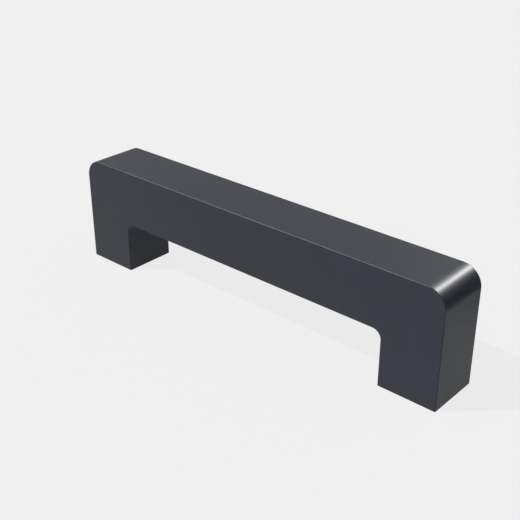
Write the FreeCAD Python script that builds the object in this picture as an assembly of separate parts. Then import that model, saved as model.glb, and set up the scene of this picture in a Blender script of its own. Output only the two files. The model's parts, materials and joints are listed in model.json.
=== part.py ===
import FreeCAD, Part
import math
import os

from FreeCAD import Vector

# Bridge pull handle, one solid piece of aluminium: a straight grip that turns down into two feet, with a
# blind tapped hole up each foot for a screw from behind. The origin is the middle of the mounting plane that
# both feet stand on. X runs along the grip, Y from the front face to the back, and Z away from that plane.

# Outline seen from the front, in millimetres
HOLE_SPACING = 128.0
FOOT_WIDTH = 19.8
GRIP_THICKNESS = 19.8
HANDLE_HEIGHT = 38.3
HANDLE_DEPTH = 19.0
OUTER_CORNER_RADIUS = 6.4
INNER_CORNER_RADIUS = 3.0
EDGE_BREAK_RADIUS = 0.3

# Tapped hole in each foot, in millimetres and degrees
THREAD_DIAMETER = 6.0
THREAD_PITCH = 1.0
THREAD_LENGTH = 12.0
TAP_LEAD_PITCHES = 3.0
MOUTH_RIM = 0.2
MOUTH_CONE_ANGLE = 90.0
DRILL_POINT_ANGLE = 118.0

# Distance under which two places count as the same, in millimetres
SAME_PLACE = 0.001


def rounded_wire(corners):
    """Closed wire in the front plane, from corners given as x, z and the radius of the arc there."""
    front = -HANDLE_DEPTH / 2
    points = [Vector(x, front, z) for x, z, radius in corners]
    radii = [radius for x, z, radius in corners]
    arc_middle = 1 - math.cos(math.radians(45))
    edges = []
    for i, point in enumerate(points):
        previous = points[i - 1]
        following = points[(i + 1) % len(points)]
        back_along = (previous - point).normalize()
        forward_along = (following - point).normalize()
        run_start = previous + (point - previous).normalize() * radii[i - 1]
        arc_start = point + back_along * radii[i]
        arc_end = point + forward_along * radii[i]
        edges.append(Part.LineSegment(run_start, arc_start).toShape())
        if radii[i] > 0:
            on_arc = point + (back_along + forward_along) * radii[i] * arc_middle
            edges.append(Part.Arc(arc_start, on_arc, arc_end).toShape())
    return Part.Wire(edges)


def bridge_blank():
    """The bridge outline carried through the depth of the handle, with sharp front and back edges."""
    outside = (HOLE_SPACING + FOOT_WIDTH) / 2
    inside = (HOLE_SPACING - FOOT_WIDTH) / 2
    grip_underside = HANDLE_HEIGHT - GRIP_THICKNESS
    corners = [
        (-outside, 0.0, 0.0),
        (-outside, HANDLE_HEIGHT, OUTER_CORNER_RADIUS),
        (outside, HANDLE_HEIGHT, OUTER_CORNER_RADIUS),
        (outside, 0.0, 0.0),
        (inside, 0.0, 0.0),
        (inside, grip_underside, INNER_CORNER_RADIUS),
        (-inside, grip_underside, INNER_CORNER_RADIUS),
        (-inside, 0.0, 0.0),
    ]
    return Part.Face(rounded_wire(corners)).extrude(Vector(0, HANDLE_DEPTH, 0))


def outline_edges(solid):
    """Edges of the front and back faces, without those that meet the mounting plane along their length."""
    chosen = []
    for edge in solid.Edges:
        in_one_face = edge.BoundBox.YLength < SAME_PLACE
        above_mounting = edge.BoundBox.ZMax > SAME_PLACE
        if in_one_face and above_mounting:
            chosen.append(edge)
    return chosen


def tapped_hole(x):
    """Metal taken out for one screw: countersunk mouth, tapping drill's wall and drill point."""
    drill_radius = (THREAD_DIAMETER - THREAD_PITCH) / 2
    mouth_radius = THREAD_DIAMETER / 2 + MOUTH_RIM
    mouth_depth = (mouth_radius - drill_radius) / math.tan(math.radians(MOUTH_CONE_ANGLE / 2))
    wall_end = THREAD_LENGTH + TAP_LEAD_PITCHES * THREAD_PITCH
    point_end = wall_end + drill_radius / math.tan(math.radians(DRILL_POINT_ANGLE / 2))
    half_section = [
        Vector(0, 0, 0),
        Vector(mouth_radius, 0, 0),
        Vector(drill_radius, 0, mouth_depth),
        Vector(drill_radius, 0, wall_end),
        Vector(0, 0, point_end),
        Vector(0, 0, 0),
    ]
    hole = Part.Face(Part.makePolygon(half_section)).revolve(Vector(0, 0, 0), Vector(0, 0, 1), 360)
    hole.translate(Vector(x, 0, 0))
    return hole


def handle():
    """The finished handle: blank, broken edges, then the two holes."""
    blank = bridge_blank()
    broken = blank.makeFillet(EDGE_BREAK_RADIUS, outline_edges(blank))
    holes = [tapped_hole(side * HOLE_SPACING / 2) for side in (-1, 1)]
    return broken.cut(holes).Solids[0]


os.makedirs("parts", exist_ok=True)
handle().exportStep("parts/handle.step")
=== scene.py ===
import json
import math

import bpy
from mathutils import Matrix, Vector


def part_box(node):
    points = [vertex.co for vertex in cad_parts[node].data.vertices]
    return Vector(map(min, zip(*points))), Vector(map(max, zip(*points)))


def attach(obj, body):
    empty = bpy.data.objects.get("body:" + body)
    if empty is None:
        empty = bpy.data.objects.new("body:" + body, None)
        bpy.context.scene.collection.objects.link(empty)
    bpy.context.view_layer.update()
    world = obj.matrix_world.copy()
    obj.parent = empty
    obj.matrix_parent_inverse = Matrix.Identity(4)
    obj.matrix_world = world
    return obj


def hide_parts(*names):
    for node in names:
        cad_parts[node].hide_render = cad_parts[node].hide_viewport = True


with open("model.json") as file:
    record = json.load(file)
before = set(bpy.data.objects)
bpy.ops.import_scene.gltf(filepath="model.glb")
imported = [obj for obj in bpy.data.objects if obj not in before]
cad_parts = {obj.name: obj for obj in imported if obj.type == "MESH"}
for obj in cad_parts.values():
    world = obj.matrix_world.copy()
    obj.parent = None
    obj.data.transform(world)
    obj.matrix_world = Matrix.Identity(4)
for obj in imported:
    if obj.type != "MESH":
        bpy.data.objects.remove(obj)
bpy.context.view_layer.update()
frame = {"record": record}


# Handle. The real one is a single piece of aluminium, milled from bar: a straight grip that turns down into
# a square foot at each end. Its front and back edges are broken, each foot is drilled and tapped M6 from
# below, and the whole is bead blasted and anodised a dark, slightly blue anthracite.
MM = 0.001
low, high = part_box("handle")
length, depth, height = high - low
hole_pattern = next(mount for mount in frame["record"]["mounts"] if mount["name"] == "screw_holes")
hole_spacing = hole_pattern["dims"]["spacing_x_mm"] * MM
drill_radius = hole_pattern["dims"]["hole_r_mm"] * MM
foot_width = length - hole_spacing
grip_thickness = 19.8 * MM
outer_corner_radius = 6.4 * MM
inner_corner_radius = 3.0 * MM
corner_steps = 48
edge_break_radius = 0.3 * MM
edge_break_steps = 8

thread_pitch = 1.0 * MM
thread_length = 12.0 * MM
tap_lead = 3.0 * thread_pitch
tap_point_clearance = 0.1 * MM
mouth_rim = 0.2 * MM
drill_point_angle = math.radians(118.0)
cutter_start = -1.5 * thread_pitch
ridge_reach_in_pitches = 0.7
ridge_tip_half_in_pitches = 1 / 16
ridge_flank_angle = math.radians(30.0)
steps_per_turn = 64

same_place = 0.001 * MM
weld_distance = 0.0001 * MM
sharp_angle = math.radians(30.0)


def feed(tree, socket, value):
    """Link an input to another node's output, or give it a plain value."""
    if isinstance(value, bpy.types.NodeSocket):
        tree.links.new(value, socket)
    else:
        socket.default_value = value


def add_node(tree, kind, inputs=None, **settings):
    """Add a node, give it its own settings, and feed its inputs by name or number."""
    made = tree.nodes.new(kind)
    for name, value in settings.items():
        setattr(made, name, value)
    for name, value in (inputs or {}).items():
        feed(tree, made.inputs[name], value)
    return made


def calculate(tree, operation, *values):
    """Result of a math node that works on the values given, each a number or a socket."""
    made = add_node(tree, "ShaderNodeMath", operation=operation)
    for socket, value in zip(made.inputs, values):
        feed(tree, socket, value)
    return made.outputs[0]


def remap(tree, value, before, after, interpolation="LINEAR"):
    """Value carried from one range to another, and held at that range's ends."""
    ranges = {"From Min": before[0], "From Max": before[1], "To Min": after[0], "To Max": after[1]}
    made = add_node(
        tree, "ShaderNodeMapRange", {"Value": value, **ranges}, interpolation_type=interpolation
    )
    return made.outputs[0]


def as_vector(tree, x=0.0, y=0.0, z=0.0):
    """Vector put together from numbers or sockets."""
    return add_node(tree, "ShaderNodeCombineXYZ", {"X": x, "Y": y, "Z": z}).outputs[0]


def axes_of(tree, vector):
    """The outputs X, Y and Z of a vector."""
    return add_node(tree, "ShaderNodeSeparateXYZ", {"Vector": vector}).outputs


def by_index(tree, values):
    """Field that gives each point the value at its own place in the list."""
    chooser = add_node(tree, "GeometryNodeIndexSwitch", data_type="FLOAT")
    while len(chooser.index_switch_items) < len(values):
        chooser.index_switch_items.new()
    feed(tree, chooser.inputs[0], add_node(tree, "GeometryNodeInputIndex").outputs[0])
    for i, value in enumerate(values):
        feed(tree, chooser.inputs[i + 1], value)
    return chooser.outputs[0]


def curve_through(tree, count, place):
    """Curve through that many points, each at its own place."""
    points = add_node(tree, "GeometryNodeMeshLine", {"Count": count}).outputs[0]
    placed = add_node(tree, "GeometryNodeSetPosition", {"Geometry": points, "Position": place})
    return add_node(tree, "GeometryNodeMeshToCurve", {"Mesh": placed.outputs[0]}).outputs[0]


def start_tree(name, sizes):
    """New Geometry Nodes tree and its inputs by name: a mesh, a material and the sizes."""
    tree = bpy.data.node_groups.new(name, "GeometryNodeTree")
    tree.interface.new_socket("Geometry", in_out="OUTPUT", socket_type="NodeSocketGeometry")
    tree.interface.new_socket("Geometry", in_out="INPUT", socket_type="NodeSocketGeometry")
    tree.interface.new_socket("Material", in_out="INPUT", socket_type="NodeSocketMaterial")
    for size, value in sizes.items():
        kind = "NodeSocketInt" if isinstance(value, int) else "NodeSocketFloat"
        tree.interface.new_socket(size, in_out="INPUT", socket_type=kind)
    return tree, add_node(tree, "NodeGroupInput").outputs


def end_tree(tree, geometry, material):
    """Finish a tree as real mesh in the given material."""
    real = add_node(tree, "GeometryNodeRealizeInstances", {"Geometry": geometry}).outputs[0]
    painted = add_node(tree, "GeometryNodeSetMaterial", {"Geometry": real, "Material": material})
    add_node(tree, "NodeGroupOutput", {"Geometry": painted.outputs[0]})


def run_tree(piece, tree, material, sizes):
    """Put the tree on the piece as a modifier, and set its inputs by their identifiers."""
    values = {"Material": material, **sizes}
    modifier = piece.modifiers.new(tree.name, "NODES")
    modifier.node_group = tree
    for socket in tree.interface.items_tree:
        if socket.in_out == "INPUT" and socket.name in values:
            modifier[socket.identifier] = values[socket.name]


def bridge_outline(tree, given):
    """Closed outline of the bridge, seen from the front, with its corners rounded."""
    outside = calculate(tree, "MULTIPLY", given["Length"], 0.5)
    inside = calculate(tree, "SUBTRACT", outside, given["Foot width"])
    minus_outside = calculate(tree, "MULTIPLY", outside, -1.0)
    minus_inside = calculate(tree, "MULTIPLY", inside, -1.0)
    top = given["Height"]
    underside = calculate(tree, "SUBTRACT", top, given["Grip thickness"])
    outer = given["Outer corner radius"]
    inner = given["Inner corner radius"]
    across = [minus_outside, minus_outside, outside, outside, inside, inside, minus_inside, minus_inside]
    up = [0.0, top, top, 0.0, 0.0, underside, underside, 0.0]
    radius = [0.0, outer, outer, 0.0, 0.0, inner, inner, 0.0]

    corner = as_vector(tree, x=by_index(tree, across), y=by_index(tree, up))
    line = curve_through(tree, len(across), corner)
    closed = add_node(tree, "GeometryNodeSetSplineCyclic", {"Geometry": line, "Cyclic": True})
    rounded = add_node(
        tree,
        "GeometryNodeFilletCurve",
        {
            "Curve": closed.outputs[0],
            "Count": given["Corner steps"],
            "Radius": by_index(tree, radius),
            "Limit Radius": True,
        },
        mode="POLY",
    )
    return rounded.outputs[0]


def carried_through(tree, outline, distance):
    """Solid with the outline as its front and back, stood upright with the middle of its depth at 0."""
    face = add_node(tree, "GeometryNodeFillCurve", {"Curve": outline}, mode="NGONS").outputs[0]
    walls = add_node(
        tree,
        "GeometryNodeExtrudeMesh",
        {"Mesh": face, "Offset": as_vector(tree, z=distance), "Individual": False},
    )
    other_face = add_node(tree, "GeometryNodeFlipFaces", {"Mesh": face})
    joined = add_node(tree, "GeometryNodeJoinGeometry", {"Geometry": walls.outputs[0]})
    tree.links.new(other_face.outputs[0], joined.inputs["Geometry"])
    solid = add_node(
        tree, "GeometryNodeMergeByDistance", {"Geometry": joined.outputs[0], "Distance": same_place}
    )
    upright = add_node(
        tree,
        "GeometryNodeTransform",
        {
            "Geometry": solid.outputs[0],
            "Translation": as_vector(tree, y=calculate(tree, "MULTIPLY", distance, 0.5)),
            "Rotation": (math.radians(90), 0.0, 0.0),
        },
    )
    return upright.outputs[0]


def bridge_blank_tree(sizes):
    """The bridge with sharp edges, and those to break marked: front and back, but not round the feet."""
    tree, given = start_tree("bridge_blank", sizes)
    blank = carried_through(tree, bridge_outline(tree, given), given["Depth"])
    ends = add_node(tree, "GeometryNodeInputMeshEdgeVertices").outputs
    first = axes_of(tree, ends["Position 1"])
    second = axes_of(tree, ends["Position 2"])
    in_one_face = calculate(tree, "COMPARE", first["Y"], second["Y"], same_place)
    summed_height = calculate(tree, "ADD", first["Z"], second["Z"])
    above_mounting = calculate(tree, "GREATER_THAN", summed_height, same_place)
    marked = add_node(
        tree,
        "GeometryNodeStoreNamedAttribute",
        {
            "Geometry": blank,
            "Name": "bevel_weight_edge",
            "Value": calculate(tree, "MULTIPLY", in_one_face, above_mounting),
        },
        data_type="FLOAT",
        domain="EDGE",
    )
    end_tree(tree, marked.outputs[0], given["Material"])
    return tree


def drill_tool(tree, given, thread_radius, wall_end):
    """Drill on its axis: a countersink that opens below the foot, a straight wall and a point."""
    radius = given["Drill radius"]
    start = given["Cutter start"]
    mouth = calculate(tree, "ADD", thread_radius, given["Mouth rim"])
    wide_mouth = calculate(tree, "SUBTRACT", mouth, start)
    cone_end = calculate(tree, "SUBTRACT", mouth, radius)
    point_length = calculate(tree, "DIVIDE", radius, math.tan(drill_point_angle / 2))
    point_end = calculate(tree, "ADD", wall_end, point_length)
    heights = [start, cone_end, wall_end, point_end]
    radii = [wide_mouth, radius, radius, 0.0]

    axis = curve_through(tree, len(heights), as_vector(tree, z=by_index(tree, heights)))
    circle = add_node(
        tree, "GeometryNodeCurvePrimitiveCircle", {"Resolution": given["Steps per turn"], "Radius": 1.0}
    )
    body = add_node(
        tree,
        "GeometryNodeCurveToMesh",
        {
            "Curve": axis,
            "Profile Curve": circle.outputs["Curve"],
            "Scale": by_index(tree, radii),
            "Fill Caps": True,
        },
    )
    solid = add_node(
        tree, "GeometryNodeMergeByDistance", {"Geometry": body.outputs[0], "Distance": same_place}
    )
    # Turned by half a facet, so that the drill's edges don't fall on the points of the helix
    half_facet = calculate(tree, "DIVIDE", math.pi, given["Steps per turn"])
    turned = add_node(
        tree,
        "GeometryNodeTransform",
        {"Geometry": solid.outputs[0], "Rotation": as_vector(tree, z=half_facet)},
    )
    return turned.outputs[0]


def tap_path(tree, given, thread_radius, wall_end):
    """Right-hand helix at the thread's outer radius, which past the thread draws in and runs out."""
    start = given["Cutter start"]
    rise = calculate(tree, "SUBTRACT", wall_end, start)
    helix = add_node(
        tree,
        "GeometryNodeCurveSpiral",
        {
            "Resolution": given["Steps per turn"],
            "Rotations": calculate(tree, "DIVIDE", rise, given["Pitch"]),
            "Start Radius": thread_radius,
            "End Radius": thread_radius,
            "Height": rise,
            "Reverse": True,
        },
    )
    along = axes_of(tree, add_node(tree, "GeometryNodeInputPosition").outputs[0])
    tap_height = calculate(tree, "ADD", along["Z"], start)
    point_radius = calculate(tree, "SUBTRACT", given["Drill radius"], given["Tap point clearance"])
    point_share = calculate(tree, "DIVIDE", point_radius, thread_radius)
    narrowing = remap(tree, tap_height, (given["Thread length"], wall_end), (1.0, point_share))
    narrowed = as_vector(
        tree,
        x=calculate(tree, "MULTIPLY", along["X"], narrowing),
        y=calculate(tree, "MULTIPLY", along["Y"], narrowing),
        z=tap_height,
    )
    path = add_node(
        tree, "GeometryNodeSetPosition", {"Geometry": helix.outputs[0], "Position": narrowed}
    )
    level = add_node(tree, "GeometryNodeSetCurveNormal", {"Curve": path.outputs[0]}, mode="Z_UP")
    return level.outputs[0]


def tap_ridge(tree, pitch):
    """Section of the groove that the tap cuts, its narrow tip on the path and its base towards the axis."""
    reach = calculate(tree, "MULTIPLY", pitch, ridge_reach_in_pitches)
    tip_half = calculate(tree, "MULTIPLY", pitch, ridge_tip_half_in_pitches)
    flank_spread = calculate(tree, "MULTIPLY", reach, math.tan(ridge_flank_angle))
    base_half = calculate(tree, "ADD", tip_half, flank_spread)
    inward = calculate(tree, "MULTIPLY", reach, -1.0)
    minus_base_half = calculate(tree, "MULTIPLY", base_half, -1.0)
    minus_tip_half = calculate(tree, "MULTIPLY", tip_half, -1.0)
    across = [inward, 0.0, 0.0, inward]
    up = [minus_base_half, minus_tip_half, tip_half, base_half]

    corner = as_vector(tree, x=by_index(tree, across), y=by_index(tree, up))
    line = curve_through(tree, len(across), corner)
    return add_node(tree, "GeometryNodeSetSplineCyclic", {"Geometry": line, "Cyclic": True}).outputs[0]


def tapped_holes_tree(sizes):
    """Drill and tap a hole up each foot."""
    tree, given = start_tree("tapped_holes", sizes)
    thread_depth = calculate(tree, "MULTIPLY", given["Pitch"], 0.5)
    thread_radius = calculate(tree, "ADD", given["Drill radius"], thread_depth)
    wall_end = calculate(tree, "ADD", given["Thread length"], given["Tap lead"])
    drill = drill_tool(tree, given, thread_radius, wall_end)
    tap_body = add_node(
        tree,
        "GeometryNodeCurveToMesh",
        {
            "Curve": tap_path(tree, given, thread_radius, wall_end),
            "Profile Curve": tap_ridge(tree, given["Pitch"]),
            "Fill Caps": True,
        },
    )
    # The faces of the swept ridge are twisted, so they are made triangles before the cut
    tap = add_node(tree, "GeometryNodeTriangulate", {"Mesh": tap_body.outputs[0]}).outputs[0]

    feet = add_node(
        tree,
        "GeometryNodeMeshLine",
        {
            "Count": 2,
            "Start Location": as_vector(tree, x=calculate(tree, "MULTIPLY", given["Hole spacing"], -0.5)),
            "Offset": as_vector(tree, x=given["Hole spacing"]),
        },
    )
    cut = add_node(tree, "GeometryNodeMeshBoolean", {"Mesh 1": given["Geometry"]}, solver="EXACT")
    for tool in (drill, tap):
        copies = add_node(
            tree, "GeometryNodeInstanceOnPoints", {"Points": feet.outputs[0], "Instance": tool}
        )
        real = add_node(tree, "GeometryNodeRealizeInstances", {"Geometry": copies.outputs[0]})
        tree.links.new(real.outputs[0], cut.inputs["Mesh 2"])
    welded = add_node(
        tree, "GeometryNodeMergeByDistance", {"Geometry": cut.outputs["Mesh"], "Distance": weld_distance}
    )

    smooth = add_node(
        tree, "GeometryNodeSetShadeSmooth", {"Geometry": welded.outputs[0], "Shade Smooth": True}
    )
    edge_turn = add_node(tree, "GeometryNodeInputMeshEdgeAngle").outputs["Unsigned Angle"]
    edged = add_node(
        tree,
        "GeometryNodeSetShadeSmooth",
        {
            "Geometry": smooth.outputs[0],
            "Shade Smooth": calculate(tree, "LESS_THAN", edge_turn, sharp_angle),
        },
        domain="EDGE",
    )
    end_tree(tree, edged.outputs[0], given["Material"])
    return tree


anthracite = (0.0298, 0.0325, 0.0440)
tone_range = (0.93, 1.07)
oxide_ior = 1.32
blasting_grain = 0.16 * MM
blasting_depth = 0.01 * MM
blasting_strength = 0.25
blasted_roughness = (0.38, 0.44)
cut_roughness = 0.3
dye_patch = 22.0 * MM
noise_range = (0.3, 0.7)


def mottle(tree, place, grain):
    """Soft noise with spots about as wide as the grain."""
    spots = add_node(tree, "ShaderNodeTexNoise", {"Vector": place, "Scale": 1 / grain})
    return spots.outputs["Fac"]


def blend(tree, share, first, second):
    """The first value where the share is 0, and the second where it is 1."""
    return add_node(tree, "ShaderNodeMix", {"Factor": share, "A": first, "B": second}).outputs[0]


def inside_a_hole(tree, place):
    """1 on the wall of a screw hole and 0 elsewhere, the foot's own face included."""
    along = axes_of(tree, place)
    to_axis = calculate(tree, "SUBTRACT", calculate(tree, "ABSOLUTE", along["X"]), hole_spacing / 2)
    to_axis_squared = calculate(tree, "MULTIPLY", to_axis, to_axis)
    distance_squared = calculate(tree, "MULTIPLY_ADD", along["Y"], along["Y"], to_axis_squared)
    near_axis = calculate(tree, "LESS_THAN", distance_squared, (drill_radius + thread_pitch) ** 2)
    in_foot = calculate(tree, "LESS_THAN", along["Z"], height - grip_thickness)
    past_mouth = calculate(tree, "GREATER_THAN", along["Z"], same_place)
    return calculate(tree, "MULTIPLY", near_axis, calculate(tree, "MULTIPLY", in_foot, past_mouth))


def anodised_aluminium():
    """Dark dyed oxide over blasted metal, smoother in the holes, which are tapped after the blasting."""
    material = bpy.data.materials.new("anodised_aluminium")
    material.use_nodes = True
    tree = material.node_tree
    shader = tree.nodes["Principled BSDF"]
    shader.inputs["IOR"].default_value = oxide_ior
    shader.inputs["Metallic"].default_value = 0.0
    place = add_node(tree, "ShaderNodeTexCoord").outputs["Object"]
    blasting = mottle(tree, place, blasting_grain)
    dyeing = mottle(tree, place, dye_patch)
    in_hole = inside_a_hole(tree, place)

    both_noises = (2 * noise_range[0], 2 * noise_range[1])
    tone = remap(tree, calculate(tree, "ADD", blasting, dyeing), both_noises, tone_range)
    colour = add_node(tree, "ShaderNodeVectorMath", {0: anthracite, "Scale": tone}, operation="SCALE")
    feed(tree, shader.inputs["Base Color"], colour.outputs[0])

    outer_roughness = remap(tree, blasting, noise_range, blasted_roughness)
    feed(tree, shader.inputs["Roughness"], blend(tree, in_hole, outer_roughness, cut_roughness))

    strength = calculate(tree, "MULTIPLY_ADD", in_hole, -blasting_strength, blasting_strength)
    bump = add_node(
        tree, "ShaderNodeBump", {"Height": blasting, "Strength": strength, "Distance": blasting_depth}
    )
    feed(tree, shader.inputs["Normal"], bump.outputs[0])
    return material


anodised = anodised_aluminium()
blank_sizes = {
    "Length": length,
    "Foot width": foot_width,
    "Grip thickness": grip_thickness,
    "Height": height,
    "Depth": depth,
    "Outer corner radius": outer_corner_radius,
    "Inner corner radius": inner_corner_radius,
    "Corner steps": corner_steps,
}
hole_sizes = {
    "Hole spacing": hole_spacing,
    "Drill radius": drill_radius,
    "Pitch": thread_pitch,
    "Thread length": thread_length,
    "Tap lead": tap_lead,
    "Tap point clearance": tap_point_clearance,
    "Mouth rim": mouth_rim,
    "Cutter start": cutter_start,
    "Steps per turn": steps_per_turn,
}
draft = bpy.data.objects.new("handle_draft", bpy.data.meshes.new("handle_draft"))
bpy.context.scene.collection.objects.link(draft)
run_tree(draft, bridge_blank_tree(blank_sizes), anodised, blank_sizes)
edge_break = draft.modifiers.new("edge_break", "BEVEL")
edge_break.limit_method = "WEIGHT"
edge_break.offset_type = "OFFSET"
edge_break.width = edge_break_radius
edge_break.segments = edge_break_steps
run_tree(draft, tapped_holes_tree(hole_sizes), anodised, hole_sizes)
even_shading = draft.modifiers.new("even_shading", "WEIGHTED_NORMAL")
even_shading.keep_sharp = True
finished = draft.evaluated_get(bpy.context.evaluated_depsgraph_get())
pull_handle = bpy.data.objects.new("pull_handle", bpy.data.meshes.new_from_object(finished))
pull_handle.data.materials.clear()
pull_handle.data.materials.append(anodised)
bpy.context.scene.collection.objects.link(pull_handle)
bpy.data.objects.remove(draft)
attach(pull_handle, "root")
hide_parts("handle")


# Floor. A plain pale sheet that the feet stand on, which isn't part of the handle. Seen directly it is one
# even tone with a faint shadow. In a reflection it goes dark a little way behind the handle, and for the
# light that it sends back it is ordinary white.
floor_half_width = 3.0
floor_drop = 0.02 * MM
pale_tone = 0.871
glow_tone = 0.888
shadow_share = 0.09
sheet_white = 0.62
gloss_tone = 0.73
horizon_tone = 0.01
fade_over = (38.0 * MM, 90.0 * MM)


def grey(tone):
    """Colour of an even tone."""
    return (tone, tone, tone, 1.0)


def blend_shaders(tree, share, first, second):
    """The first shader where the share is 0, and the second where it is 1."""
    return add_node(tree, "ShaderNodeMixShader", {0: share, 1: first, 2: second}).outputs[0]


def pale_floor():
    """Mostly self-lit tone where it is seen directly, a fading one in gloss, and white for matt light."""
    material = bpy.data.materials.new("pale_floor")
    material.use_nodes = True
    tree = material.node_tree
    tree.nodes.clear()
    matt = add_node(tree, "ShaderNodeBsdfDiffuse", {"Color": grey(sheet_white)}).outputs[0]
    glow = add_node(tree, "ShaderNodeEmission", {"Color": grey(glow_tone)}).outputs[0]
    seen = blend_shaders(tree, 1 - shadow_share, matt, glow)

    place = axes_of(tree, add_node(tree, "ShaderNodeTexCoord").outputs["Object"])
    fading = remap(tree, place["Y"], fade_over, (gloss_tone, horizon_tone), "SMOOTHSTEP")
    in_gloss = add_node(tree, "ShaderNodeEmission", {"Color": grey(1.0), "Strength": fading}).outputs[0]

    ray = add_node(tree, "ShaderNodeLightPath").outputs
    direct = calculate(tree, "MAXIMUM", ray["Is Camera Ray"], ray["Is Transmission Ray"])
    chosen = blend_shaders(tree, direct, matt, seen)
    surface = blend_shaders(tree, ray["Is Glossy Ray"], chosen, in_gloss)
    add_node(tree, "ShaderNodeOutputMaterial", {"Surface": surface})
    return material


floor_corners = [(-1, -1), (1, -1), (1, 1), (-1, 1)]
floor_points = [(x * floor_half_width, y * floor_half_width, -floor_drop) for x, y in floor_corners]
floor_mesh = bpy.data.meshes.new("floor")
floor_mesh.from_pydata(floor_points, [], [(0, 1, 2, 3)])
floor_mesh.materials.append(pale_floor())
floor = bpy.data.objects.new("floor", floor_mesh)
bpy.context.scene.collection.objects.link(floor)


# Light. The key lamp at the front left throws the faint shadow, a softer one beside it draws the line on
# the top's front edge, and two soft boxes behind draw the streak over the far corner. The room lights every
# side evenly, but its reflection is pale on the left and dark on the right and at the horizon.
def towards(azimuth, elevation):
    """Direction from the handle, in degrees: from the back (+Y) round to +X, and up from the floor."""
    a = math.radians(azimuth)
    e = math.radians(elevation)
    return Vector((math.sin(a) * math.cos(e), math.cos(a) * math.cos(e), math.sin(e)))


def place_lamp(lamp, direction, target, distance):
    """Stand a lamp that way from the target, shining on it and out of the picture."""
    placed = bpy.data.objects.new(lamp.name, lamp)
    placed.location = target + direction * distance
    placed.rotation_euler = direction.to_track_quat("Z", "Y").to_euler()
    placed.visible_camera = False
    bpy.context.scene.collection.objects.link(placed)
    return placed


def add_sun(name, direction, strength, angle):
    """Lamp so far off that its light is even over the whole handle."""
    lamp = bpy.data.lights.new(name, "SUN")
    lamp.energy = strength
    lamp.angle = math.radians(angle)
    return place_lamp(lamp, direction, Vector(), 1.0)


box_distance = 0.6


def add_soft_box(name, direction, target, power, width):
    """Round soft box that shines on the target."""
    lamp = bpy.data.lights.new(name, "AREA")
    lamp.energy = power
    lamp.shape = "DISK"
    lamp.size = width
    return place_lamp(lamp, direction, target, box_distance)


streak_from_end = 0.6 * outer_corner_radius
streak_from_top = 0.1 * outer_corner_radius
streak = Vector((high.x - streak_from_end, 0.0, high.z - streak_from_top))
add_sun("key", towards(-135.0, 49.7), strength=2.9, angle=1.0)
edge_glint = add_sun("edge_glint", towards(-123.0, 42.0), strength=3.1, angle=14.0)
corner_box = add_soft_box("corner_box", towards(6.8, 37.6), streak, power=4.45, width=0.03)
broad_box = add_soft_box("broad_box", towards(-2.5, 38.5), streak, power=0.55, width=0.3)
# These three only draw reflections, and the matt light comes from the key lamp and the room
for lamp in (edge_glint, corner_box, broad_box):
    lamp.visible_diffuse = False

# Tones that reflections show, each with its place from left (-1) to right (1)
reflected_tones = [(-1.0, 1.0), (-0.75, 0.73), (-0.6, 0.53), (-0.4, 0.66), (0.2, horizon_tone)]
room_level = 0.44
front_to_back = (-0.4, 0.0)
horizon_to_full = (0.0, 0.3)


def studio_room():
    """World of one even level in matt light, and in gloss with the reflected tones behind the handle."""
    world = bpy.data.worlds.new("room")
    world.use_nodes = True
    tree = world.node_tree
    looking = axes_of(tree, add_node(tree, "ShaderNodeTexCoord").outputs["Generated"])
    across = calculate(tree, "MULTIPLY_ADD", looking["X"], 0.5, 0.5)
    left_to_right = add_node(tree, "ShaderNodeValToRGB", {"Fac": across})
    marks = left_to_right.color_ramp.elements
    while len(marks) < len(reflected_tones):
        marks.new(1.0)
    for mark, (x, tone) in zip(marks, reflected_tones):
        mark.position = (x + 1) / 2
        mark.color = grey(tone)

    behind = remap(tree, looking["Y"], front_to_back, (0.0, 1.0))
    walls = blend(tree, behind, room_level, left_to_right.outputs["Color"])
    above_horizon = remap(tree, looking["Z"], horizon_to_full, (0.0, 1.0), "SMOOTHSTEP")
    reflected = blend(tree, above_horizon, horizon_tone, walls)
    ray = add_node(tree, "ShaderNodeLightPath").outputs
    lit = blend(tree, ray["Is Glossy Ray"], room_level, reflected)
    seen = blend(tree, ray["Is Camera Ray"], lit, pale_tone)
    background = tree.nodes["Background"]
    background.inputs["Color"].default_value = grey(1.0)
    feed(tree, background.inputs["Strength"], seen)
    return world


bpy.context.scene.world = studio_room()
bpy.context.scene.view_settings.view_transform = "Standard"


# Camera. It stands to the right of the front and above, at the angle from which the photograph was taken,
# and looks a little over the middle of the mounting plane.
towards_camera = towards(138.508, 27.425)
camera_distance = 306.49 * MM
aim_above_origin = 16.956 * MM
aim_right_of_origin = -0.063 * MM
sensor_width_in_mm = 36.0
lens_in_mm = 63.322
camera_data = bpy.data.cameras.new("camera")
camera_data.sensor_width = sensor_width_in_mm
camera_data.lens = lens_in_mm
camera = bpy.data.objects.new("camera", camera_data)
camera.rotation_mode = "QUATERNION"
camera.rotation_quaternion = towards_camera.to_track_quat("Z", "Y")
aim = camera.rotation_quaternion @ Vector((aim_right_of_origin, aim_above_origin, 0.0))
camera.location = towards_camera * camera_distance + aim
bpy.context.scene.collection.objects.link(camera)
bpy.context.scene.camera = camera
